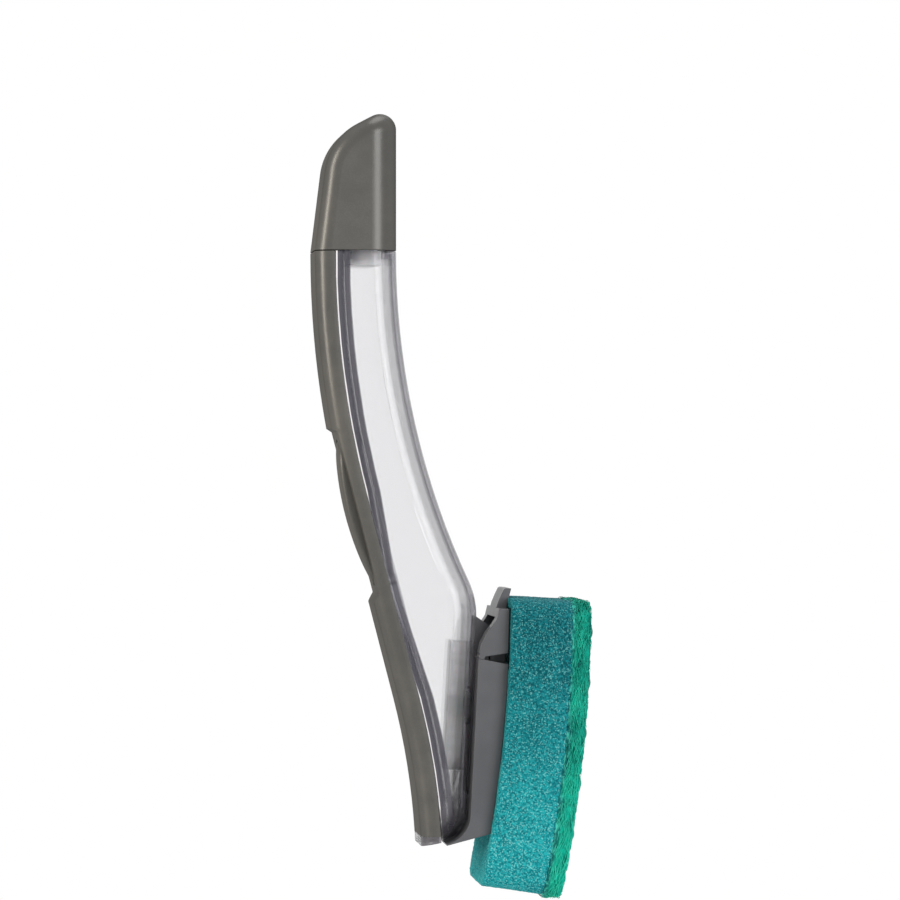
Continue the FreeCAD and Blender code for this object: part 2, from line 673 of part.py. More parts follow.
def diaphragm_clamp():
    """The frame between the well's floor and the diaphragm's rim, round the button's flange."""
    body = new_body("diaphragm_clamp", BACK_FRAME)
    frame = new_sketch(body, "frame", PLAN_PLANE, f"-{CLAMP_TOP}")
    stadium(frame, *PUMP_RIM)
    stadium(frame, *PUMP_OPENING)
    grow(body, "Pad", frame, "clamp_height", reverse=True)
    return body


def button_diaphragm():
    """The rubber sheet that closes the pump opening, raised under the button."""
    body = new_body("button_diaphragm", BACK_FRAME)
    sheet_foot = new_sketch(body, "sheet", PLAN_PLANE, f"-{SPINE_DEPTH}")
    grow(body, "Pad", stadium(sheet_foot, *PUMP_RIM), "diaphragm_thickness")
    crest = new_sketch(body, "crest", PLAN_PLANE, f"diaphragm_thickness - {SPINE_DEPTH}")
    grow(body, "Pad", stadium(crest, *SHAFT), "diaphragm_rise")
    return body


# The outlet's barrel reaches from the wall's inner face to the rail's outer face
BARREL = "(outlet_bore - 2 * fit_clearance)"
VALVE_SEAT = "(rail_height - valve_flange - retainer_height)"
DOME_RADIUS = "(housing_bore / 2 - fit_clearance)"
BLOCK_CORNER_SHARE = 0.25


def valve_housing():
    """The block behind the front wall, with the outlet's barrel, the seal's groove and the valve seat."""
    body = new_body("valve_housing", HEAD_FRAME)
    block = new_sketch(body, "block", PLAN_PLANE, "-tank_wall")
    half = "housing_length / 2"
    corner = f"housing_width * {BLOCK_CORNER_SHARE}"
    rounded(block, f"(outlet_drop - {half})", f"(outlet_drop + {half})", "housing_width", corner)
    grow(body, "Pad", block, "housing_thickness", reverse=True)
    barrel = new_sketch(body, "barrel", PLAN_PLANE, "-tank_wall")
    grow(body, "Pad", circle(barrel, "outlet_drop", BARREL), "tank_wall + rail_height")
    bore = new_sketch(body, "bore", PLAN_PLANE, "rail_height + overrun")
    grow(body, "Pocket", circle(bore, "outlet_drop", "housing_bore"),
         "rail_height + tank_wall + housing_thickness + 2 * overrun")
    seat = new_sketch(body, "seat", PLAN_PLANE, "rail_height")
    grow(body, "Pocket", circle(seat, "outlet_drop", "valve_diameter"), "valve_flange + retainer_height")
    groove = new_sketch(body, "groove", PLAN_PLANE, "-tank_wall")
    circle(groove, "outlet_drop", f"{BARREL} + 2 * seal_wire")
    circle(groove, "outlet_drop", BARREL)
    grow(body, "Pocket", groove, "seal_wire")
    return body


def outlet_seal():
    """The ring in the housing's groove, pressed on the wall's inner face."""
    body = new_body("outlet_seal", HEAD_FRAME)
    section = new_sketch(body, "section", SIDE_PLANE, shift="outlet_drop")
    circle(section, f"({BARREL} + seal_wire) / 2", "seal_wire", "-tank_wall - seal_wire / 2")
    turn(body, section)
    return body


def slit_valve():
    """The silicone valve: a flange and a thin dome that hangs into the bore, with a slit."""
    body = new_body("slit_valve", HEAD_FRAME)
    section = new_sketch(body, "section", SIDE_PLANE, shift="outlet_drop")
    inner = f"({DOME_RADIUS} - valve_skin)"
    inner_rise = "(valve_dome + valve_flange - valve_skin)"
    inner_bend = f"({inner}^2 + {inner_rise}^2) / (2 * {inner_rise})"
    outline(section, [
        ("0", f"{VALVE_SEAT} - valve_dome"),
        (DOME_RADIUS, VALVE_SEAT, f"({DOME_RADIUS}^2 + valve_dome^2) / (2 * valve_dome)", LEFT),
        ("valve_diameter / 2", VALVE_SEAT),
        ("valve_diameter / 2", f"{VALVE_SEAT} + valve_flange"),
        (inner, f"{VALVE_SEAT} + valve_flange"),
        ("0", f"{VALVE_SEAT} - valve_dome + valve_skin", inner_bend, RIGHT),
    ])
    turn(body, section)
    slit = new_sketch(body, "slit", PLAN_PLANE, f"{VALVE_SEAT} + valve_flange")
    half = "slit_length / 2"
    outline(slit, [
        (f"outlet_drop - {half}", "-slit_width / 2"),
        (f"outlet_drop + {half}", "-slit_width / 2"),
        (f"outlet_drop + {half}", "slit_width / 2"),
        (f"outlet_drop - {half}", "slit_width / 2"),
    ])
    grow(body, "Pocket", slit, "valve_flange + valve_dome + overrun")
    return body


def valve_retainer():
    """The ring that holds the valve's flange on its seat."""
    body = new_body("valve_retainer", HEAD_FRAME)
    ring = new_sketch(body, "ring", PLAN_PLANE, f"{VALVE_SEAT} + valve_flange")
    circle(ring, "outlet_drop", "valve_diameter")
    circle(ring, "outlet_drop", "housing_bore")
    grow(body, "Pad", ring, "retainer_height")
    return body


# The catch's ridge, as a share of the way to the rail
CATCH_RIDGE_SHARE = 0.25


def head_shoe():
    """The rail on the front wall that the refill slides on, and the catch above it."""
    body = new_body("head_shoe", HEAD_FRAME)
    rail_end = "(rail_start + rail_length)"
    web = new_sketch(body, "web", PLAN_PLANE)
    rounded(web, "rail_start", rail_end, "rail_web_width", "rail_round")
    grow(body, "Pad", web, "rail_web_height")
    head = new_sketch(body, "head", PLAN_PLANE, "rail_web_height")
    rounded(head, "rail_start", rail_end, "rail_width", "rail_round")
    grow(body, "Pad", head, "rail_height - rail_web_height")
    catch = [
        ("-catch_rise", "0"),
        ("rail_start + rail_round", "0"),
        ("rail_start + rail_round", "rail_height"),
        ("rail_start", "rail_height"),
        (f"rail_start * {CATCH_RIDGE_SHARE}", "catch_height"),
    ]
    catch_sketch = outline(new_sketch(body, "catch", SIDE_PLANE), catch)
    grow(body, "Pad", catch_sketch, "rail_web_width", symmetric=True)
    port = new_sketch(body, "port", PLAN_PLANE, "rail_height + overrun")
    grow(body, "Pocket", circle(port, "outlet_drop", "outlet_bore"), "rail_height + 2 * overrun")
    return body


# The tank's floor runs back from the toe: its direction in the head's frame, as a unit vector
FLOOR_RUN_X = f"({tail_x(SPINE_DEPTH, BASE_REAR)} - {TOE_X})"
FLOOR_RUN_Z = f"({BASE_REAR} - {TOE_Z})"
FLOOR_RUN = f"sqrt({FLOOR_RUN_X}^2 + {FLOOR_RUN_Z}^2)"
FLOOR_ALONG = f"((-{FLOOR_RUN_X} * sin(wall_lean) - {FLOOR_RUN_Z} * cos(wall_lean)) / {FLOOR_RUN})"
FLOOR_OUT = f"(({FLOOR_RUN_X} * cos(wall_lean) - {FLOOR_RUN_Z} * sin(wall_lean)) / {FLOOR_RUN})"
TOE_TANGENT = f"(-toe_radius * {FLOOR_OUT} / (1 + {FLOOR_ALONG}))"

# The slit between carrier and tab, as shares of its mouth on either side of the hinge
SLIT_SHARES = (0.6, 0.4)
SLIT_LOW = f"(hinge_drop + slit_mouth * {SLIT_SHARES[0]})"
SLIT_HIGH = f"(hinge_drop - slit_mouth * {SLIT_SHARES[1]})"
HINGE_TOP = "(hinge_height + hinge_radius)"


def pad_carrier():
    """The refill's carrier: curved to the foam, round the toe, slotted for the rail, with the tab's stop."""
    body = new_body("pad_carrier", HEAD_FRAME)
    lip_x = f"({WALL_LENGTH} + {TOE_TANGENT} * {FLOOR_ALONG} - slide_gap * {FLOOR_OUT})"
    lip_z = f"({TOE_TANGENT} * {FLOOR_OUT} + slide_gap * {FLOOR_ALONG})"
    foot = f"({WALL_LENGTH} - carrier_lift)"
    side = [
        ("hinge_drop", "slide_gap"),
        (f"{WALL_LENGTH} - {TOE_TANGENT}", "slide_gap"),
        (lip_x, lip_z, "toe_radius + slide_gap", RIGHT),
        (f"{lip_x} - lip_thickness * {FLOOR_OUT}", f"{lip_z} + lip_thickness * {FLOOR_ALONG}"),
        (foot, pad_z(foot, "0")),
        (SLIT_LOW, pad_z(SLIT_LOW, "0"), "pad_bend_radius", LEFT),
        ("hinge_drop + slit_root", f"{HINGE_TOP} + hinge_clearance"),
    ]
    grow(body, "Pad", outline(new_sketch(body, "side", SIDE_PLANE), side), "carrier_width", symmetric=True)
    slot_end = "(rail_start + rail_length + slide_gap)"
    for name, width, top, depth in (
        ("rail_slot", "rail_width", "rail_height + slide_gap",
         "rail_height - rail_web_height + 2 * slide_gap"),
        ("web_slot", "rail_web_width", "rail_web_height", "rail_web_height + overrun"),
    ):
        slot = new_sketch(body, name, PLAN_PLANE, top)
        half = f"({width} / 2 + slide_gap)"
        outline(slot, [
            ("hinge_drop - overrun", f"-{half}"),
            (slot_end, f"-{half}"),
            (slot_end, half),
            ("hinge_drop - overrun", half),
        ])
        grow(body, "Pocket", slot, depth)
    stop = new_sketch(body, "stop", PLAN_PLANE, "rail_height + slide_gap")
    half = "(carrier_width / 2 - tab_leg - tab_clearance)"
    outline(stop, [
        ("hinge_drop - stop_rise", f"-{half}"),
        (f"{SLIT_LOW} + stop_rise", f"-{half}"),
        (f"{SLIT_LOW} + stop_rise", half),
        ("hinge_drop - stop_rise", half),
    ])
    grow(body, "Pad", stop, "carrier_depth - rail_height - slide_gap - tab_clearance")
    hole = new_sketch(body, "soap_hole", PLAN_PLANE, "carrier_depth + overrun")
    grow(body, "Pocket", circle(hole, "outlet_drop", "soap_hole"), "carrier_depth + overrun - rail_height")
    socket = new_sketch(body, "hinge_socket", SIDE_PLANE)
    circle(socket, "hinge_drop", "2 * (hinge_radius + hinge_clearance)", "hinge_height")
    grow(body, "Pocket", socket, "carrier_width + overrun", symmetric=True)
    return body


# The release tab's inner edge: shares of its rise, or of the hinge's drop, and of the carrier's depth
TAB_UPPER_SHARES = [(1.0, 0.84), (0.76, 0.735), (0.51, 0.64), (0.07, 0.552)]
TAB_LOWER_SHARES = [(0.113, 0.434), (0.318, 0.254), (0.636, 0.094)]
TAB_FOOT_SHARE = 0.895


def release_tab():
    """The sprung tab over the catch: legs on the hinge, a bridge between, a narrower lip leaning out."""
    body = new_body("release_tab", HEAD_FRAME)
    side = [
        ("hinge_drop", "hinge_height"),
        ("hinge_drop", HINGE_TOP),
        (SLIT_HIGH, f"{pad_z(SLIT_HIGH, '0')} - tab_clearance"),
        ("-leg_rise", f"{pad_z('-leg_rise', '0')} - tab_clearance", "pad_bend_radius", LEFT),
        ("-tab_rise", f"{pad_z('-tab_rise', '0')} - tab_clearance + lip_lean"),
    ]
    side += [(f"-tab_rise * {rise}", f"carrier_depth * {depth}") for rise, depth in TAB_UPPER_SHARES]
    side += [(f"hinge_drop * {drop}", f"carrier_depth * {depth}") for drop, depth in TAB_LOWER_SHARES]
    side += [(f"hinge_drop * {TAB_FOOT_SHARE}", "slide_gap")]
    grow(body, "Pad", outline(new_sketch(body, "side", SIDE_PLANE), side), "carrier_width", symmetric=True)
    bead = new_sketch(body, "bead", SIDE_PLANE)
    circle(bead, "hinge_drop", "2 * hinge_radius", "hinge_height")
    grow(body, "Pad", bead, "carrier_width", symmetric=True)
    gate = new_sketch(body, "gate", PLAN_PLANE, "carrier_depth + overrun")
    half = "(carrier_width / 2 - tab_leg)"
    bridge_foot = "-(catch_rise + tab_clearance)"
    outline(gate, [
        (bridge_foot, f"-{half}"),
        ("hinge_drop + hinge_radius + overrun", f"-{half}"),
        ("hinge_drop + hinge_radius + overrun", half),
        (bridge_foot, half),
    ])
    grow(body, "Pocket", gate, "carrier_depth + 2 * overrun")
    steps = new_sketch(body, "steps", PLAN_PLANE, "carrier_depth + overrun")
    for near, far in (("-(carrier_width / 2 + overrun)", "-lip_width / 2"),
                      ("lip_width / 2", "carrier_width / 2 + overrun")):
        outline(steps, [
            ("-(tab_rise + overrun)", near),
            ("-leg_rise", near),
            ("-leg_rise", far),
            ("-(tab_rise + overrun)", far),
        ])
    grow(body, "Pocket", steps, "carrier_depth + 2 * overrun")
    fillet(body, "lip", [("-tab_rise", "0", f"carrier_depth * {TAB_UPPER_SHARES[0][1]}")], "lip_round")
    return body


def slab(body, lower, upper):
    """A curved layer of the pad between two heights over the carrier, with round corners in plan."""
    steps = []
    for height in (lower, upper):
        toe = f"(pad_toe + pad_slant * ({height}) / (foam_thickness + scour_thickness))"
        face = [(along, pad_z(along, f"({height})")) for along in (toe, "-pad_rise")]
        steps.append(face)
    side = [
        steps[0][1],
        steps[0][0] + (f"pad_bend_radius + {lower}", RIGHT),
        steps[1][0],
        steps[1][1] + (f"pad_bend_radius + {upper}", LEFT),
    ]
    grow(body, "Pad", outline(new_sketch(body, "side", SIDE_PLANE), side), "pad_width", symmetric=True)
    corners = []
    for end in (0, 1):
        middle = [f"({low} + {high}) / 2" for low, high in zip(steps[0][end], steps[1][end])]
        corners += both_sides(middle[0], "pad_width / 2", middle[1])
    fillet(body, "corners", corners, "pad_round")


def sponge_foam():
    """The thick foam, cut back behind the tab so that the tab can be pressed."""
    body = new_body("sponge_foam", HEAD_FRAME)
    slab(body, "0", "foam_thickness")
    relief = new_sketch(body, "relief", PLAN_PLANE, "carrier_depth + tab_relief")
    shoulder = "-(leg_rise + tab_clearance)"
    wide = "(carrier_width / 2 + tab_clearance)"
    narrow = "(lip_width / 2 + tab_clearance)"
    outline(relief, [
        ("-pad_rise - overrun", f"-{narrow}"),
        (shoulder, f"-{narrow}"),
        (shoulder, f"-{wide}"),
        ("hinge_drop + slit_mouth", f"-{wide}"),
        ("hinge_drop + slit_mouth", wide),
        (shoulder, wide),
        (shoulder, narrow),
        ("-pad_rise - overrun", narrow),
    ])
    grow(body, "Pocket", relief, "carrier_depth + tab_relief")
    return body


def scour_pad():
    """The scouring layer on the foam."""
    body = new_body("scour_pad", HEAD_FRAME)
    slab(body, "foam_thickness", "foam_thickness + scour_thickness")
    return body


def scrub_dots():
    """Raised domes in staggered rows on the scouring layer, each a solid of its own."""
    radius = value("dot_diameter") / 2
    height = value("dot_height")
    ball = (radius ** 2 + height ** 2) / (2 * height)
    latitude = math.degrees(math.asin((ball - height) / ball))
    bend = value("pad_bend_radius + foam_thickness + scour_thickness")
    middle = FreeCAD.Vector(value("pad_crown_drop"), 0, value("carrier_depth - pad_bend_radius"))
    half_width = value("pad_width / 2 - dot_margin")
    first = value("dot_margin - pad_rise")
    last = value("pad_toe - dot_margin")
    corner = value("pad_round - dot_margin")
    pitch = value("dot_pitch")
    row_pitch = pitch * math.sqrt(3) / 2
    rows = int((last - first) / row_pitch)
    start = (first + last - rows * row_pitch) / 2
    domes = []
    for row in range(rows + 1):
        along = start + row * row_pitch
        columns = int(half_width / pitch - (row % 2) / 2)
        places = [(number + (row % 2) / 2) * pitch for number in range(columns + 1)]
        for across in sorted(places + [-place for place in places if place]):
            past_end = max(first + corner - along, along - last + corner, 0)
            past_side = max(abs(across) - half_width + corner, 0)
            if math.hypot(past_end, past_side) > max(corner, 0):
                continue
            tilt = math.degrees(math.asin((along - middle.x) / bend))
            dome = Part.makeSphere(ball, FreeCAD.Vector(), FreeCAD.Vector(0, 0, 1), latitude, 90, 360)
            dome.translate(FreeCAD.Vector(0, 0, height - ball + bend + value("dot_lift")))
            dome.rotate(FreeCAD.Vector(), FreeCAD.Vector(0, 1, 0), tilt)
            dome.translate(middle + FreeCAD.Vector(0, across, 0))
            domes.append(dome)
    dots = doc.addObject("Part::Feature", "scrub_dots")
    dots.Label = "scrub_dots"
    dots.Shape = Part.Compound(domes)
    turned = FreeCAD.Rotation(HEAD_FRAME["axis"], value(HEAD_FRAME["angle"]))
    dots.Placement = FreeCAD.Placement(FreeCAD.Vector(value(WALL_X), 0, value(WALL_Z)), turned)
    return dots


def check(pieces):
    """Stops if any step of the document failed or a piece has no valid shape."""
    doc.recompute()
    failed = [item.Name for item in doc.Objects if {"Invalid", "Error"} & set(item.State)]
    failed += [piece.Label for piece in pieces if piece.Shape.isNull() or not piece.Shape.isValid()]
    if failed:
        raise RuntimeError("failed: " + ", ".join(failed))


fill_sheet()
pieces = [
    reservoir_shell(), back_spine(), fill_cap(), cap_plug(), cap_gasket(),
    soap_button(), diaphragm_clamp(), button_diaphragm(),
    valve_housing(), outlet_seal(), slit_valve(), valve_retainer(), head_shoe(),
    pad_carrier(), release_tab(), sponge_foam(), scour_pad(), scrub_dots(),
]
check(pieces)
os.makedirs("parts", exist_ok=True)
for piece in pieces:
    piece.Shape.exportStep(f"parts/{piece.Label}.step")
    print(piece.Label, len(piece.Shape.Solids), round(piece.Shape.Volume))
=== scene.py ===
# %% [markdown]
# # A soap dish wand, from solids to a picture
# The solids of the wand come from a CAD model, in metres, and stay where they are. This lesson dresses them:
# each hard piece gets a finish made of shader nodes, and the soft pad is rebuilt as foam, web and fibres.
# Loading comes first, because every later cell asks the loaded solids where a piece is.

# %% Load the solids
import math
import random

import bmesh
import bpy
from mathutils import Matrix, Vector, noise


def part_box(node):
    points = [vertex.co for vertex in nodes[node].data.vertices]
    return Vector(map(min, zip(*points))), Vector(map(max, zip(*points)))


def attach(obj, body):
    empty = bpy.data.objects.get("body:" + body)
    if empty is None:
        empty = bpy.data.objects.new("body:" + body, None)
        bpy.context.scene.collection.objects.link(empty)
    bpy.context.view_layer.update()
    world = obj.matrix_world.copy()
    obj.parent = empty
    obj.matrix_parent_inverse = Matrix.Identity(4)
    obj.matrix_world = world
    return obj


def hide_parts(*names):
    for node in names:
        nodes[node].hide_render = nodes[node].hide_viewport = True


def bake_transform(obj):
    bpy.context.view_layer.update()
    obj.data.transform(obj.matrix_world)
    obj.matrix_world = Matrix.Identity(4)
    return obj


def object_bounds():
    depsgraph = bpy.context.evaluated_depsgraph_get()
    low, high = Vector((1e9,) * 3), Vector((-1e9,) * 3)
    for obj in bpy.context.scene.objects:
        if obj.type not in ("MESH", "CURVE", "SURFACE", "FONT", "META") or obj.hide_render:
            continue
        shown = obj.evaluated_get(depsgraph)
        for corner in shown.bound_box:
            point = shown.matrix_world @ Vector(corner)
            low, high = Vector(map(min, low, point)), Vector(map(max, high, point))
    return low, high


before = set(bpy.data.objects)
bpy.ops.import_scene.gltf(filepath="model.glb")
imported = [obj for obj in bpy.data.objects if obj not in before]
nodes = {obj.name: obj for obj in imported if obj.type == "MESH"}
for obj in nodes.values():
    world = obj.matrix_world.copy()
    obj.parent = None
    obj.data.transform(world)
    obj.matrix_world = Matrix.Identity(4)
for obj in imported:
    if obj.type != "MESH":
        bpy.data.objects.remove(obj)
cad_box = [list(corner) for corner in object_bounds()]
print("solids:", len(nodes), "box:", [[round(v, 4) for v in corner] for corner in cad_box])

# %% [markdown]
# ## The camera
# The picture is taken from the side with a long lens, a few degrees round towards the back of the handle, so
# that the foam's back edge just shows. A long lens far away keeps the upright lines parallel.

# %% Place the camera
MM = 0.001
PICTURE_WIDTH = 279 * MM
LENS_DISTANCE = 1.6
SENSOR = 36
turn = math.radians(5)
aim = Vector((25.8 * MM, 0, -15.5 * MM))
lens = bpy.data.cameras.new("camera")
lens.sensor_width = SENSOR
lens.lens = SENSOR * LENS_DISTANCE / PICTURE_WIDTH
camera = bpy.data.objects.new("camera", lens)
toward = Vector((math.sin(turn), math.cos(turn), 0))
camera.location = aim - toward * LENS_DISTANCE
camera.rotation_euler = toward.to_track_quat("-Z", "Y").to_euler()
bpy.context.scene.collection.objects.link(camera)
bpy.context.scene.camera = camera
print("lens:", round(lens.lens, 1), "mm")

# %% [markdown]
# ## Shader nodes as sums
# A finish is a small calculation on numbers that change over the surface. Wiring Math nodes by hand hides that
# calculation, so one class wraps a node's output and turns + - * / into Math nodes. Every other node comes from
# a single method of the finish: its kind, its settings, and the values or wires of its sockets.


# %% Wires and finishes
class Wire:
    """One output of a node; arithmetic on it adds Math nodes to the same finish."""

    def __init__(self, finish, socket):
        self.finish = finish
        self.socket = socket

    def math(self, operation, *values):
        return self.finish.node("ShaderNodeMath", {"operation": operation}, dict(enumerate(values or (self,))))

    def __add__(self, other):
        return self.math("ADD", self, other)

    def __sub__(self, other):
        return self.math("SUBTRACT", self, other)

    def __rsub__(self, other):
        return self.math("SUBTRACT", other, self)

    def __mul__(self, other):
        return self.math("MULTIPLY", self, other)

    def __truediv__(self, other):
        return self.math("DIVIDE", self, other)

    def __rtruediv__(self, other):
        return self.math("DIVIDE", other, self)

    def __pow__(self, other):
        return self.math("POWER", self, other)

    def __rpow__(self, other):
        return self.math("POWER", other, self)

    def at_least(self, other):
        return self.math("MAXIMUM", self, other)

    def step(self, low, high):
        """0 below low, 1 above high, and smooth between."""
        kind = {"interpolation_type": "SMOOTHSTEP"}
        return self.finish.node("ShaderNodeMapRange", kind, {0: self, 1: low, 2: high, 3: 0.0, 4: 1.0})

    __radd__ = __add__
    __rmul__ = __mul__


class Finish:
    """A material, or the world, while its nodes are being added."""

    def __init__(self, owner):
        owner.use_nodes = True
        self.owner = owner
        self.tree = owner.node_tree
        self.tree.nodes.clear()

    def node(self, kind, settings=None, sockets=None, output=0):
        made = self.tree.nodes.new(kind)
        for name, setting in (settings or {}).items():
            if name == "stops":
                self.set_stops(made.color_ramp, setting)
            else:
                setattr(made, name, setting)
        for name, given in (sockets or {}).items():
            if isinstance(given, Wire):
                self.tree.links.new(given.socket, made.inputs[name])
            else:
                made.inputs[name].default_value = given
        return Wire(self, made.outputs[output]) if made.outputs else None

    def set_stops(self, ramp, stops):
        while len(ramp.elements) < len(stops):
            ramp.elements.new(1.0)
        for element, (place, colour) in zip(ramp.elements, stops):
            element.position = place
            element.color = colour

    def mix(self, share, first, second):
        """A colour between two colours."""
        return self.node("ShaderNodeMix", {"data_type": "RGBA"}, {0: share, 6: first, 7: second}, 2)


def colour(red, green, blue):
    """A colour as a picture program states it, 0 to 255, turned into the light it stands for."""
    light = [v / 255 for v in (red, green, blue)]
    return tuple(v / 12.92 if v <= 0.04045 else ((v + 0.055) / 1.055) ** 2.4 for v in light) + (1.0,)


# %% [markdown]
# ## Light, floor and background
# The object hangs in front of a white sheet. A soft lamp from the left and front, a weaker one from the right and
# one from above give each grey face its own shade. What the camera and the clear plastic see behind the
# object is white at strength 1; the world's share in lighting is lower. The floor lies well below the pad, so
# that the head can slide off above it, and fades out into that white.

# %% Build the studio
FLOOR_DROP = 56 * MM
world = bpy.data.worlds.new("studio")
bpy.context.scene.world = world
sky = Finish(world)
by_eye, by_gloss, by_glass = [sky.node("ShaderNodeLightPath", output=name) for name in (
    "Is Camera Ray", "Is Glossy Ray", "Is Transmission Ray")]
seen = by_eye.at_least(by_gloss).at_least(by_glass)
AMBIENT = 0.42
backdrop = sky.node("ShaderNodeBackground", None, {
    "Color": (1, 1, 1, 1), "Strength": seen * (1 - AMBIENT) + AMBIENT})
sky.node("ShaderNodeOutputWorld", None, {"Surface": backdrop})

LAMPS = [
    ("key", (0.62, -1.1, 0.3), 0.6, 10.0, (1.0, 1.0, 1.0)),
    ("fill", (-1.05, -0.45, 0.3), 0.3, 10.0, (1.0, 0.93, 0.82)),
    ("top", (0.1, 0.15, 1.1), 0.5, 4.0, (1.0, 1.0, 1.0)),
    ("back", (0.3, 0.9, 0.9), 0.5, 3.0, (1.0, 1.0, 1.0)),
]
STRIP_HEIGHT = 0.9
for name, place, size, watts, tint in LAMPS:
    lamp = bpy.data.lights.new(name, "AREA")
    lamp.color = tint
    lamp.shape = "RECTANGLE"
    lamp.size = size
    lamp.size_y = STRIP_HEIGHT
    lamp.energy = watts
    holder = bpy.data.objects.new(name, lamp)
    holder.location = place
    holder.rotation_euler = (aim - Vector(place)).to_track_quat("-Z", "Y").to_euler()
    holder.visible_transmission = False
    bpy.context.scene.collection.objects.link(holder)

disc = bmesh.new()
bmesh.ops.create_circle(disc, cap_ends=True, segments=96, radius=0.36)
sheet = bpy.data.meshes.new("floor")
disc.to_mesh(sheet)
disc.free()
floor = bpy.data.objects.new("floor", sheet)
floor.location = (aim.x, 0, cad_box[0][2] - FLOOR_DROP)
bpy.context.scene.collection.objects.link(floor)
paper = Finish(bpy.data.materials.new("paper"))
spot = paper.node("ShaderNodeTexCoord", output="Object")
reach = paper.node("ShaderNodeVectorMath", {"operation": "LENGTH"}, {0: spot}, 1)
white = paper.node("ShaderNodeBsdfDiffuse", None, {"Color": (0.93, 0.93, 0.93, 1)})
clear_air = paper.node("ShaderNodeBsdfTransparent")
faded = paper.node("ShaderNodeMixShader", None, {0: reach.step(0.12, 0.33), 1: white, 2: clear_air})
paper.node("ShaderNodeOutputMaterial", None, {"Surface": faded})
sheet.materials.append(paper.owner)
print("lamps:", len(LAMPS))

# %% [markdown]
# ## Moulded grey plastic
# Cap, spine and button are one warm grey with a trace of pearl: the mould's fine spark grain breaks up
# the shine, and the pigment drifts a little over the length. Three noises do that: a broad one for the
# drift, a fine one for the grain's bump, and a middle one for the patches that hands polish. Seen at a slant the
# grain hides its own shine, so the gloss gives way to a matt layer towards the edges.


# %% Make the greys
def moulded(name, deep, pale, rough, pearl, calm):
    """A satin moulded plastic between two shades."""
    skin = Finish(bpy.data.materials.new(name))
    place = skin.node("ShaderNodeTexCoord", output="Object")
    drift = skin.node("ShaderNodeTexNoise", None, {"Vector": place, "Scale": 18.0, "Detail": 3.0})
    patch = skin.node("ShaderNodeTexNoise", None, {"Vector": place, "Scale": 160.0, "Detail": 4.0})
    grain = skin.node("ShaderNodeTexNoise", None, {"Vector": place, "Scale": 2600.0, "Detail": 2.0})
    share = (drift * 0.55 + patch * 0.25 + grain * 0.2).step(0.32, 0.68)
    edge = skin.node("ShaderNodeBevel", {"samples": 4}, {"Radius": 0.35 * MM})
    bump = skin.node("ShaderNodeBump", None, {
        "Strength": 0.16, "Distance": 0.05 * MM, "Height": grain, "Normal": edge})
    tint = skin.mix(share, deep, pale)
    gloss = skin.node("ShaderNodeBsdfPrincipled", None, {
        "Base Color": tint, "Roughness": rough + patch * 0.12, "Metallic": pearl, "Normal": bump,
        "Specular IOR Level": 0.55})
    matt = skin.node("ShaderNodeBsdfPrincipled", None, {
        "Base Color": tint, "Roughness": 0.9 - patch * 0.1, "Normal": bump, "Specular IOR Level": 0.0})
    grazing = skin.node("ShaderNodeLayerWeight", None, {"Blend": 0.5}, "Facing")
    body = skin.node("ShaderNodeMixShader", None, {0: grazing.step(0.25, 0.75) * calm, 1: gloss, 2: matt})
    skin.node("ShaderNodeOutputMaterial", None, {"Surface": body})
    return skin.owner


warm_grey = moulded("warm_grey", colour(70, 69, 66), colour(88, 86, 81), 0.26, 0.2, 0.85)
cool_grey = moulded("cool_grey", colour(66, 67, 71), colour(81, 82, 86), 0.34, 0.1, 0.0)


def dress(material, *names):
    """Gives a finish to solids that keep their shape."""
    for name in names:
        mesh = nodes[name].data
        mesh.materials.clear()
        mesh.materials.append(material)
        mesh.polygons.foreach_set("material_index", [0] * len(mesh.polygons))


dress(warm_grey, "fill_cap", "back_spine", "soap_button")
dress(cool_grey, "pad_carrier", "release_tab", "head_shoe")
print("greys: 2")

# %% [markdown]
# ## Milky plastic and silicone
# The pieces inside the tank are undyed: the plug and the valve's housing are natural plastic, white with a little
# depth, and the pump sheet, the slit valve and the seals are cured silicone. Light scatters under both surfaces, and
# a faint mottle keeps the milk from looking painted. One helper makes both, because only the numbers differ.


# %% Make the milky finishes
def milky(name, deep, pale, rough, depth, clear):
    """An undyed moulding that light enters a little way."""
    milk = Finish(bpy.data.materials.new(name))
    place = milk.node("ShaderNodeTexCoord", output="Object")
    mottle = milk.node("ShaderNodeTexNoise", None, {"Vector": place, "Scale": 420.0, "Detail": 4.0})
    soft = milk.node("ShaderNodeBump", None, {"Strength": 0.1, "Distance": 0.05 * MM, "Height": mottle})
    body = milk.node("ShaderNodeBsdfPrincipled", None, {
        "Base Color": milk.mix(mottle.step(0.35, 0.7), deep, pale), "Roughness": rough + mottle * 0.14,
        "Normal": soft, "Subsurface Weight": 0.4, "Subsurface Scale": depth})
    through = milk.node("ShaderNodeBsdfTransparent", None, {"Color": (0.98, 0.98, 0.98, 1)})
    veil = milk.node("ShaderNodeMixShader", None, {0: clear, 1: body, 2: through})
    milk.node("ShaderNodeOutputMaterial", None, {"Surface": veil})
    return milk.owner


natural = milky("natural_plastic", colour(220, 219, 220), colour(236, 235, 236), 0.25, 2.5 * MM, 0.5)
rubber = milky("silicone", colour(214, 214, 208), colour(232, 232, 228), 0.38, 1.5 * MM, 0.15)
dress(natural, "valve_housing", "valve_retainer", "diaphragm_clamp", "cap_plug")
dress(rubber, "slit_valve", "outlet_seal", "cap_gasket")
print("milky finishes: 2")
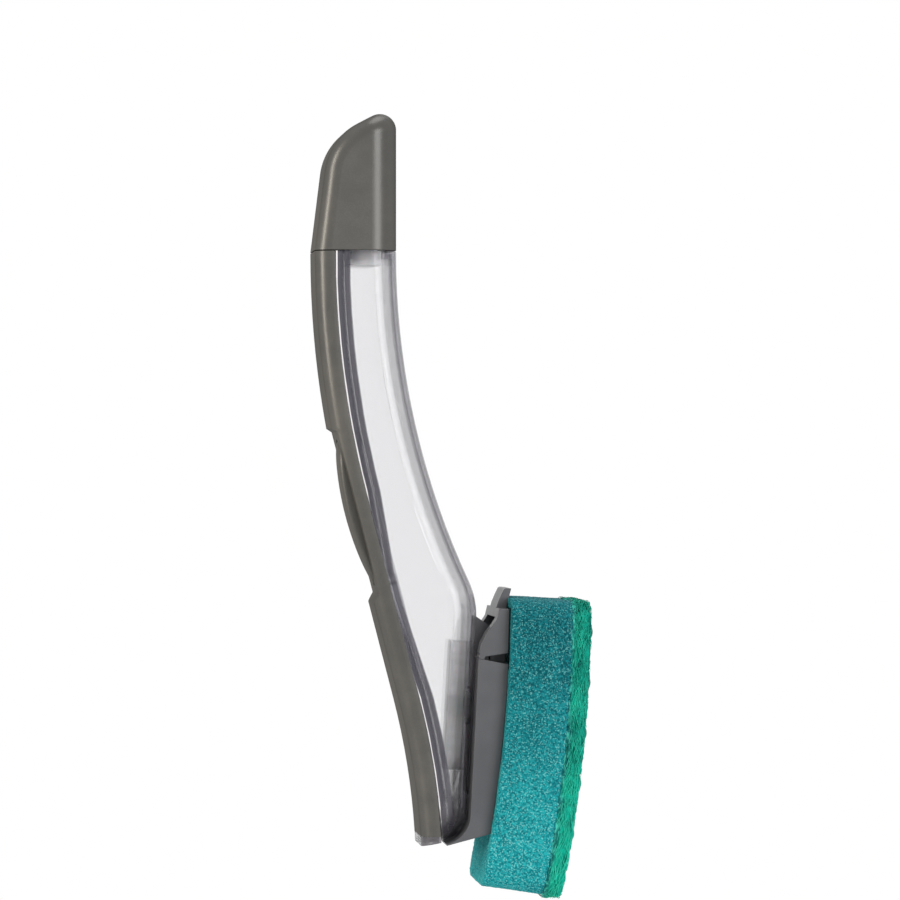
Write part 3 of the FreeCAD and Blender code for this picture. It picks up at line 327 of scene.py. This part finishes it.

# %% [markdown]
# ## The pump sheet
# Under the button lies a sheet of silicone. Its rim is clamped, its middle goes in with the button, and a thin sleeve
# between the two rolls out as the button is pressed. One stiff solid can't do that, so the sheet is made again in
# those three parts, each lofted through slot outlines at several depths. The rim stays with the handle, the middle
# goes with the button, and the sleeve sits between them, attached to neither.

# %% Make the pump sheet
ACROSS = Vector((0, 1, 0))
BUTTON_SEAT = Vector((-5.83, 0, -35.5)) * MM
PRESS = Vector((0.968148, 0, 0.25038))
LENGTHWISE = Vector((-PRESS.z, 0, PRESS.x))
BUTTON_HALF = 8.5 * MM
BUTTON_RUN = 14.5 * MM
ARC_STEPS = 48


def slot_outline(wider, depth):
    """Points round the button's outline, widened by a distance, at a depth under the back."""
    half = BUTTON_HALF + wider
    points = []
    for end, start in ((BUTTON_RUN, -math.pi / 2), (-BUTTON_RUN, math.pi / 2)):
        for number in range(ARC_STEPS + 1):
            angle = start + math.pi * number / ARC_STEPS
            flat = LENGTHWISE * (end + half * math.cos(angle)) + ACROSS * half * math.sin(angle)
            points.append(BUTTON_SEAT + flat + PRESS * depth)
    return points


def loft(name, profile, ring):
    """A silicone piece through slot outlines: a ring joins its last outline to its first, a plug gets two caps."""
    shape = bmesh.new()
    rows = [[shape.verts.new(point) for point in slot_outline(wider * MM, depth * MM)] for wider, depth in profile]
    for first, second in zip(rows, rows[1:] + (rows[:1] if ring else [])):
        for number in range(len(first)):
            after = (number + 1) % len(first)
            shape.faces.new((first[number], first[after], second[after], second[number]))
    if not ring:
        shape.faces.new(rows[0])
        shape.faces.new(rows[-1])
    bmesh.ops.recalc_face_normals(shape, faces=shape.faces)
    mesh = bpy.data.meshes.new(name)
    shape.to_mesh(mesh)
    shape.free()
    mesh.materials.append(rubber)
    piece = bpy.data.objects.new(name, mesh)
    bpy.context.scene.collection.objects.link(piece)
    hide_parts("button_diaphragm")
    return piece


TOP, FOOT = 5.21, 5.99
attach(loft("pump_rim", [(1.6, TOP), (4.2, TOP), (4.2, FOOT), (1.6, FOOT)], ring=True), "handle")
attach(loft("pump_middle", [(0.0, 5.0), (0.0, TOP), (1.2, TOP), (1.2, FOOT)], ring=False), "button")
depths = [TOP + (FOOT - TOP) * number / 8 for number in range(9)]
walls = [(1.5, depth) for depth in depths] + [(1.3, depth) for depth in reversed(depths)]
sleeve = loft("pump_sleeve", walls, ring=True)
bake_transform(sleeve)
print("pump sheet parts: 3")

# %% [markdown]
# ## Clear plastic
# The tank is a hollow moulding with walls a little over two millimetres thick, so its edges show as grey lines
# where light runs along the wall. The solid has a real inner face, so refraction draws some of those lines, and
# a weak absorption darkens the long paths; painted shade draws the rest. Fine wavy bumps stand for the flow lines of
# the moulding.

# %% Measure the spine's front edge
ROW = 10 * MM
spine_low, spine_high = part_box("back_spine")
rim = {}
for point in nodes["back_spine"].data.vertices:
    row = int((point.co.z - spine_low[2]) / ROW)
    if row not in rim or point.co.x > rim[row].x:
        rim[row] = point.co.copy()
spine_run, spine_rise = spine_high[0] - spine_low[0], spine_high[2] - spine_low[2]
edge_stops = []
for point in sorted(rim.values(), key=lambda point: point.z):
    level = (point.x - spine_low[0]) / spine_run
    edge_stops.append(((point.z - spine_low[2]) / spine_rise, (level, level, level, 1.0)))
print("edge points:", len(edge_stops))

# %% [markdown]
# From the side, just in front of the spine, the clear wall shows two dark violet strips with a fine light line
# between them, and a bright line against the spine. There is no rib there: the strips are painted shade and the
# bright line is a painted highlight, in an opaque layer over the clear wall. A ramp that holds the edge measured
# above tells each point how far it lies in front of the spine, and that distance picks the strips.

# %% Make the clear plastic
glassy = Finish(bpy.data.materials.new("clear_plastic"))
place = glassy.node("ShaderNodeTexCoord", output="Object")
flow = glassy.node("ShaderNodeTexNoise", None, {"Vector": place, "Scale": 60.0, "Detail": 2.0})
scuff = glassy.node("ShaderNodeTexNoise", None, {"Vector": place, "Scale": 900.0, "Detail": 3.0})
wave = glassy.node("ShaderNodeBump", None, {"Strength": 0.05, "Distance": 0.2 * MM, "Height": flow})
pane = glassy.node("ShaderNodeBsdfPrincipled", None, {
    "Base Color": glassy.mix(scuff.step(0.45, 0.75), (0.99, 0.99, 0.99, 1), (0.97, 0.97, 0.975, 1)),
    "Roughness": scuff.step(0.5, 0.8) * 0.05, "Normal": wave, "IOR": 1.49, "Transmission Weight": 1.0})
depth = glassy.node("ShaderNodeVolumeAbsorption", None, {"Color": (0.76, 0.755, 0.78, 1), "Density": 170.0})
straight = glassy.node("ShaderNodeBsdfTransparent", None, {"Color": (0.985, 0.985, 0.985, 1)})
SEEN_STRAIGHT = 0.58
by_shadow = glassy.node("ShaderNodeLightPath", output="Is Shadow Ray")
by_bounce = glassy.node("ShaderNodeLightPath", output="Is Diffuse Ray")
lit = by_shadow.at_least(by_bounce) * (1 - SEEN_STRAIGHT) + SEEN_STRAIGHT
wall = glassy.node("ShaderNodeMixShader", None, {0: lit, 1: pane, 2: straight})
along_x = glassy.node("ShaderNodeSeparateXYZ", None, {0: place}, "X")
along_z = glassy.node("ShaderNodeSeparateXYZ", None, {0: place}, "Z")
turned = glassy.node("ShaderNodeNewGeometry", output="Normal")
flank = glassy.node("ShaderNodeSeparateXYZ", None, {0: turned}, "Y").math("ABSOLUTE")
sideways = flank.step(0.6, 0.8)
edge = glassy.node("ShaderNodeValToRGB", {"stops": edge_stops}, {0: (along_z - spine_low[2]) / spine_rise})
ahead = (along_x - spine_low[0] - edge * spine_run) / MM
# Painted highlight: a bright line against the spine. Painted shade: dark strips in front of it, with a lighter line
# between them.
painted_highlight = 1 - ahead.step(0.45, 0.7)
line = ahead.step(2.0, 2.2) * (1 - ahead.step(2.7, 2.9))
span = ahead.step(-0.7, -0.4) * (1 - ahead.step(4.2, 4.8))
painted_strip = sideways * span * (0.76 + painted_highlight * 0.14 - line * 0.66)
# An opaque layer that carries the painted shade strips and the painted highlight line.
painted_band = glassy.node("ShaderNodeBsdfPrincipled", None, {
    "Base Color": glassy.mix(painted_highlight, colour(58, 56, 66), colour(244, 244, 246)), "Roughness": 0.25 + scuff * 0.1})
with_painted_band = glassy.node("ShaderNodeMixShader", None, {0: painted_strip, 1: wall, 2: painted_band})

# %% [markdown]
# Two more marks are painted shade. A rounded corner bends the light away from the eye, which leaves a thin dark line
# along it, so a painted dark line is drawn where the face has turned most of the way from the side to the front. The
# toe is thick and bends light darkly, so painted dark flecks fade in over its last two centimetres.

# %% Mark the corners and the toe
tank_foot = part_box("reservoir_shell")[0][2]
# Painted shade: a thin dark line along the rounded corners, and dark flecks on the toe.
painted_corner_line = flank.step(0.1, 0.18) * (1 - flank.step(0.42, 0.55)) * 0.62
toe_blotch = glassy.node("ShaderNodeTexNoise", None, {"Vector": place, "Scale": 170.0, "Detail": 2.0, "Distortion": 1.6})
toe = 1 - along_z.step(tank_foot + 3 * MM, tank_foot + 20 * MM)
painted_toe_flecks = toe_blotch.step(0.46, 0.54) * toe * 0.85
# The dark finish of the painted corner line and the painted toe flecks.
shade = glassy.node("ShaderNodeBsdfPrincipled", None, {
    "Base Color": glassy.mix(flow.step(0.3, 0.7), colour(56, 54, 59), colour(88, 86, 91)),
    "Roughness": 0.2 + scuff * 0.1})
marked = glassy.node("ShaderNodeMixShader", None, {0: painted_corner_line.at_least(painted_toe_flecks), 1: with_painted_band, 2: shade})
glassy.node("ShaderNodeOutputMaterial", None, {"Surface": marked, "Volume": depth})
dress(glassy.owner, "reservoir_shell")
print("clear plastic made")

# %% [markdown]
# ## The pad's own frame
# The foam and the web lie on one curved carrier. It helps to walk over them in the pad's own directions: along
# the pad from top to toe, across it, and out from the handle. The numbers repeat the solids' sizes.

# %% Walk over the pad
WALL_TOP = Vector((33.188, 0, -67.674)) * MM
WALL_LEAN = math.radians(3.0)
ALONG = Vector((-math.sin(WALL_LEAN), 0, -math.cos(WALL_LEAN)))
OUT = Vector((math.cos(WALL_LEAN), 0, -math.sin(WALL_LEAN)))
PAD_BEND = 460 * MM
PAD_CROWN = 14 * MM
PAD_BASE = 9.6 * MM
FOAM_DEPTH = 19.0 * MM
WEB_DEPTH = 5.6 * MM
PAD_TOP = -7.2 * MM
PAD_TOE = 81.3 * MM
PAD_SLANT = 2.4 * MM
PAD_HALF = 25 * MM
PAD_CORNER = 7 * MM


def on_pad(along, across, rise):
    """The place over a point of the carrier's curve, at a height above it."""
    out = PAD_BASE - PAD_BEND + math.sqrt((PAD_BEND + rise) ** 2 - (along - PAD_CROWN) ** 2)
    return WALL_TOP + ALONG * along + ACROSS * across + OUT * out


BEND_CENTRE = WALL_TOP + ALONG * PAD_CROWN + OUT * (PAD_BASE - PAD_BEND)


def rise_of(place):
    """How far a place stands above the carrier's curve."""
    arm = place - BEND_CENTRE
    return math.hypot(arm.x, arm.z) - PAD_BEND


print("pad face:", [round(v, 4) for v in on_pad(PAD_CROWN, 0, FOAM_DEPTH + WEB_DEPTH)])


# %% [markdown]
# ## Cutting foam
# The foam is a slab die-cut from a block, so its sides are straight and its skin is all open cells. Starting from
# a copy of the solid keeps the slab's bend and the notch behind the tab. A voxel remesh spreads even faces
# over it, and each point then rises or sinks by a fine noise for the cut cells and a slow one for the slab's swell.

# %% Remesh and pit a copy
def even_copy(name, node, voxel):
    """A copy of a solid with even faces, ready to be shaped point by point."""
    piece = bpy.data.objects.new(name, nodes[node].data.copy())
    bpy.context.scene.collection.objects.link(piece)
    remesh = piece.modifiers.new("even", "REMESH")
    remesh.mode = "VOXEL"
    remesh.voxel_size = voxel
    remesh.use_smooth_shade = True
    bpy.context.view_layer.update()
    smooth = piece.evaluated_get(bpy.context.evaluated_depsgraph_get())
    piece.data = bpy.data.meshes.new_from_object(smooth)
    piece.modifiers.clear()
    return piece


def push(piece, height):
    """Moves each point along its normal by a height that depends on its place."""
    points = [(point, height(point.co.copy()) * point.normal) for point in piece.data.vertices]
    for point, move in points:
        point.co += move
    piece.data.update()


def cells(place):
    """Open foam: fine pits, with a slow swell over the slab."""
    pit = abs(noise.noise(place / (1.0 * MM)))
    swell = noise.noise(place / (9 * MM))
    return (0.12 * swell - 0.3 * pit) * MM


foam = even_copy("foam_slab", "sponge_foam", 0.5 * MM)
push(foam, cells)
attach(foam, "refill")
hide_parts("sponge_foam")
print("foam points:", len(foam.data.vertices))

# %% [markdown]
# ## The foam's colour
# Close up, foam is a mesh of struts that catch light over cells that hold shade. From arm's length that is a fine,
# strong speckle, painted here as light and shade: deep blue green, with pale flecks under a millimetre wide. Two fine
# noises of different size make it, a slow one adds patches, and painted light makes the foam darker at the top and
# paler towards the toe.

# %% Colour the foam
teal = Finish(bpy.data.materials.new("teal_foam"))
place = teal.node("ShaderNodeTexCoord", output="Object")
speck = teal.node("ShaderNodeTexNoise", None, {"Vector": place, "Scale": 1500.0, "Detail": 2.0, "Roughness": 0.6})
fleck = teal.node("ShaderNodeTexNoise", None, {"Vector": place, "Scale": 2300.0, "Detail": 1.0})
patch = teal.node("ShaderNodeTexNoise", None, {"Vector": place, "Scale": 90.0, "Detail": 3.0})
height = teal.node("ShaderNodeSeparateXYZ", None, {0: place}, "Z")
FOAM_TOP, FOAM_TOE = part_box("sponge_foam")[1][2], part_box("sponge_foam")[0][2]
# Painted light: the foam is darker at the top and paler towards the toe.
toe_light = height.step(FOAM_TOP, FOAM_TOE)
tone = (speck * 0.8 + patch * 0.2).step(0.36, 0.66)
top_in_shade = teal.mix(tone, colour(4, 66, 74), colour(16, 116, 124))
toe_in_light = teal.mix(tone, colour(10, 112, 120), colour(36, 168, 173))
ground = teal.mix(toe_light, top_in_shade, toe_in_light)
# Painted highlight: pale flecks where struts catch light, more of them towards the toe.
spark = fleck.step(0.56, 0.68) * (toe_light * 0.26 + 0.4)
pores = teal.node("ShaderNodeBump", None, {"Strength": 0.7, "Distance": 0.25 * MM, "Height": speck + fleck * 0.5})
cut = teal.node("ShaderNodeBsdfPrincipled", None, {
    "Base Color": teal.mix(spark, ground, colour(130, 208, 206)), "Roughness": 0.88 - tone * 0.15,
    "Normal": pores, "Specular IOR Level": 0.08})
teal.node("ShaderNodeOutputMaterial", None, {"Surface": cut})
foam.data.materials.clear()
foam.data.materials.append(teal.owner)
print("foam coloured")

# %% [markdown]
# ## The scouring web
# The working face is a mat of crimped fibres bonded with resin: no smooth face anywhere. A remeshed copy pushed
# about by two noises gives the lumpy mat, and loose fibres laid over its faces and rim give the fuzz.

# %% Shape the web
def lumps(place):
    """A coarse mat: long lumps and a fine tooth."""
    return (0.5 * noise.noise(place / (2.8 * MM)) + 0.3 * noise.noise(place / (1.1 * MM)) - 0.1) * MM


def sink_rim(piece, floor_rise, depth):
    """Draws the lowest points down into the layer below, so that no groove shows between the layers."""
    for point in piece.data.vertices:
        above = rise_of(point.co) - floor_rise
        if above < depth:
            arm = point.co - BEND_CENTRE
            point.co -= Vector((arm.x, 0, arm.z)).normalized() * (depth - above) * 0.6
    piece.data.update()


web = even_copy("scour_web", "scour_pad", 0.5 * MM)
push(web, lumps)
sink_rim(web, FOAM_DEPTH, 1.0 * MM)
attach(web, "refill")
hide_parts("scour_pad")
print("web points:", len(web.data.vertices))


# %% Lay the fibres
def rim_place(share):
    """A place on the pad's outline, a rounded rectangle, and the way out of it there."""
    toe = PAD_TOE + PAD_SLANT
    long_run = toe - PAD_TOP - 2 * PAD_CORNER
    wide_run = 2 * PAD_HALF - 2 * PAD_CORNER
    arc = PAD_CORNER * math.pi / 2
    runs = [long_run, arc, wide_run, arc] * 2
    left = share * sum(runs)
    corner, heading = Vector((PAD_TOP + PAD_CORNER, -PAD_HALF)), 0.0
    for number, run in enumerate(runs):
        ahead = Vector((math.cos(heading), math.sin(heading)))
        side = Vector((ahead.y, -ahead.x))
        if left <= run:
            if number % 2 == 0:
                return corner + ahead * left, side
            bend = left / PAD_CORNER
            centre = corner - side * PAD_CORNER
            way = side * math.cos(bend) + ahead * math.sin(bend)
            return centre + way * PAD_CORNER, way
        left -= run
        if number % 2 == 0:
            corner = corner + ahead * run
        else:
            centre = corner - side * PAD_CORNER
            corner = centre + ahead * PAD_CORNER
            heading += math.pi / 2
    return corner, side


def lay_fibre(mesh, points, radius):
    """A three-sided tube through the points, closed at both ends."""
    rings = []
    for number, point in enumerate(points):
        ahead = (points[min(number + 1, len(points) - 1)] - points[max(number - 1, 0)]).normalized()
        first = ahead.orthogonal().normalized()
        second = ahead.cross(first)
        thin = radius * (0.6 if number in (0, len(points) - 1) else 1.0)
        rings.append([mesh.verts.new(point + (first * math.cos(a) + second * math.sin(a)) * thin)
                      for a in (0.0, math.tau / 3, 2 * math.tau / 3)])
    for low, high in zip(rings, rings[1:]):
        for corner in range(3):
            after = (corner + 1) % 3
            mesh.faces.new((low[corner], low[after], high[after], high[corner]))
    mesh.faces.new(reversed(rings[0]))
    mesh.faces.new(rings[-1])


dice = random.Random(7)
tangle = bmesh.new()
RIM_FIBRES = 1500
FACE_FIBRES = 1700
for number in range(RIM_FIBRES):
    spot, way = rim_place(dice.random())
    run = Vector((-way.y, way.x))
    level = FOAM_DEPTH + WEB_DEPTH * dice.uniform(0.05, 0.95)
    reach = dice.uniform(1.2, 3.4) * MM
    slant = dice.uniform(-1.2, 1.2) * MM
    arch = dice.uniform(0.05, 0.6) * MM
    line = []
    for share in (-1.0, -0.5, 0.0, 0.5, 1.0):
        bow = arch * (1 - share * share) - 0.12 * MM
        flat = spot + run * (reach * share) + way * bow
        height = min(max(level + slant * share, FOAM_DEPTH), FOAM_DEPTH + WEB_DEPTH)
        line.append(on_pad(flat.x, flat.y, height))
    lay_fibre(tangle, line, dice.uniform(0.07, 0.13) * MM)
for number in range(FACE_FIBRES):
    along = dice.uniform(PAD_TOP + 3 * MM, PAD_TOE - 2 * MM)
    across = dice.uniform(-PAD_HALF + 3 * MM, PAD_HALF - 3 * MM)
    angle = dice.uniform(0, math.tau)
    reach = dice.uniform(1.5, 3.6) * MM
    curl = dice.uniform(-1.0, 1.0) * MM
    arch = dice.uniform(0.1, 0.5) * MM
    line = []
    for share in (-1.0, -0.5, 0.0, 0.5, 1.0):
        x = along + math.cos(angle) * reach * share - math.sin(angle) * curl * (1 - share * share)
        y = across + math.sin(angle) * reach * share + math.cos(angle) * curl * (1 - share * share)
        line.append(on_pad(x, y, FOAM_DEPTH + WEB_DEPTH + arch * (1 - share * share) - 0.1 * MM))
    lay_fibre(tangle, line, dice.uniform(0.07, 0.13) * MM)
strands = bpy.data.meshes.new("web_fibres")
tangle.to_mesh(strands)
tangle.free()
fibres = bpy.data.objects.new("web_fibres", strands)
bpy.context.scene.collection.objects.link(fibres)
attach(fibres, "refill")
print("fibres:", RIM_FIBRES + FACE_FIBRES, "faces:", len(strands.polygons))

# %% [markdown]
# ## The web's colour
# Resin and dye give the fibres a bright bottle green that pools darker between them, in streaks that run along
# the pad as the mat was rolled. Where the mat was flamed onto the foam, teal shows between pale strands, so the
# colour also asks how far a point stands above the foam. The mat and its fibres share one family of greens;
# the printed dots are the same resin, thicker and duller. Painted light makes all three a little paler towards the
# toe.


# %% Colour the web and dots
def resin(name, deep, pale, fine, rough):
    """A dyed resin over fibres, darker in the hollows, teal against the foam, and painted paler towards the toe."""
    dyed = Finish(bpy.data.materials.new(name))
    spot = dyed.node("ShaderNodeTexCoord", output="Object")
    rolled = dyed.node("ShaderNodeVectorMath", {"operation": "MULTIPLY"}, {0: spot, 1: (1.0, 1.0, 0.4)})
    strand = dyed.node("ShaderNodeTexNoise", None, {
        "Vector": rolled, "Scale": fine, "Detail": 4.0, "Roughness": 0.65, "Distortion": 0.8})
    pool = dyed.node("ShaderNodeTexNoise", None, {"Vector": rolled, "Scale": 220.0, "Detail": 3.0})
    arm = dyed.node("ShaderNodeVectorMath", {"operation": "SUBTRACT"}, {0: spot, 1: tuple(BEND_CENTRE)})
    flat = dyed.node("ShaderNodeVectorMath", {"operation": "MULTIPLY"}, {0: arm, 1: (1.0, 0.0, 1.0)})
    radius = dyed.node("ShaderNodeVectorMath", {"operation": "LENGTH"}, {0: flat}, 1)
    above = (radius - (PAD_BEND + FOAM_DEPTH)) / MM
    bonded = 1 - (above + pool * 5.0).step(2.4, 4.0)
    # Painted light: the resin is a little paler towards the toe.
    web_toe_light = dyed.node("ShaderNodeSeparateXYZ", None, {0: spot}, "Z").step(FOAM_TOP, FOAM_TOE)
    share = (strand * 0.7 + pool * 0.5 + web_toe_light * 0.2).step(0.46, 0.84)
    fresh = dyed.mix(share, deep, pale)
    teal_ground = dyed.mix(strand.step(0.42, 0.62), colour(6, 96, 98), colour(70, 190, 172))
    tooth = dyed.node("ShaderNodeBump", None, {"Strength": 0.8, "Distance": 0.3 * MM, "Height": strand + pool})
    coat = dyed.node("ShaderNodeBsdfPrincipled", None, {
        "Base Color": dyed.mix(bonded, fresh, teal_ground), "Roughness": rough + strand * 0.15,
        "Normal": tooth, "Specular IOR Level": 0.12})
    dyed.node("ShaderNodeOutputMaterial", None, {"Surface": coat})
    return dyed.owner


web.data.materials.clear()
web.data.materials.append(resin("web_green", colour(0, 76, 72), colour(8, 172, 146), 700.0, 0.7))
strands.materials.append(resin("fibre_green", colour(0, 120, 104), colour(44, 196, 168), 1100.0, 0.6))
dress(resin("dot_green", colour(10, 104, 84), colour(30, 140, 112), 1400.0, 0.5), "scrub_dots")
print("web coloured")

# %% [markdown]
# ## Finish
# The view is set to the plain Standard transform and the scene is brought up to date.

# %% Set the view and close
bpy.context.scene.view_settings.view_transform = "Standard"
bpy.context.view_layer.update()
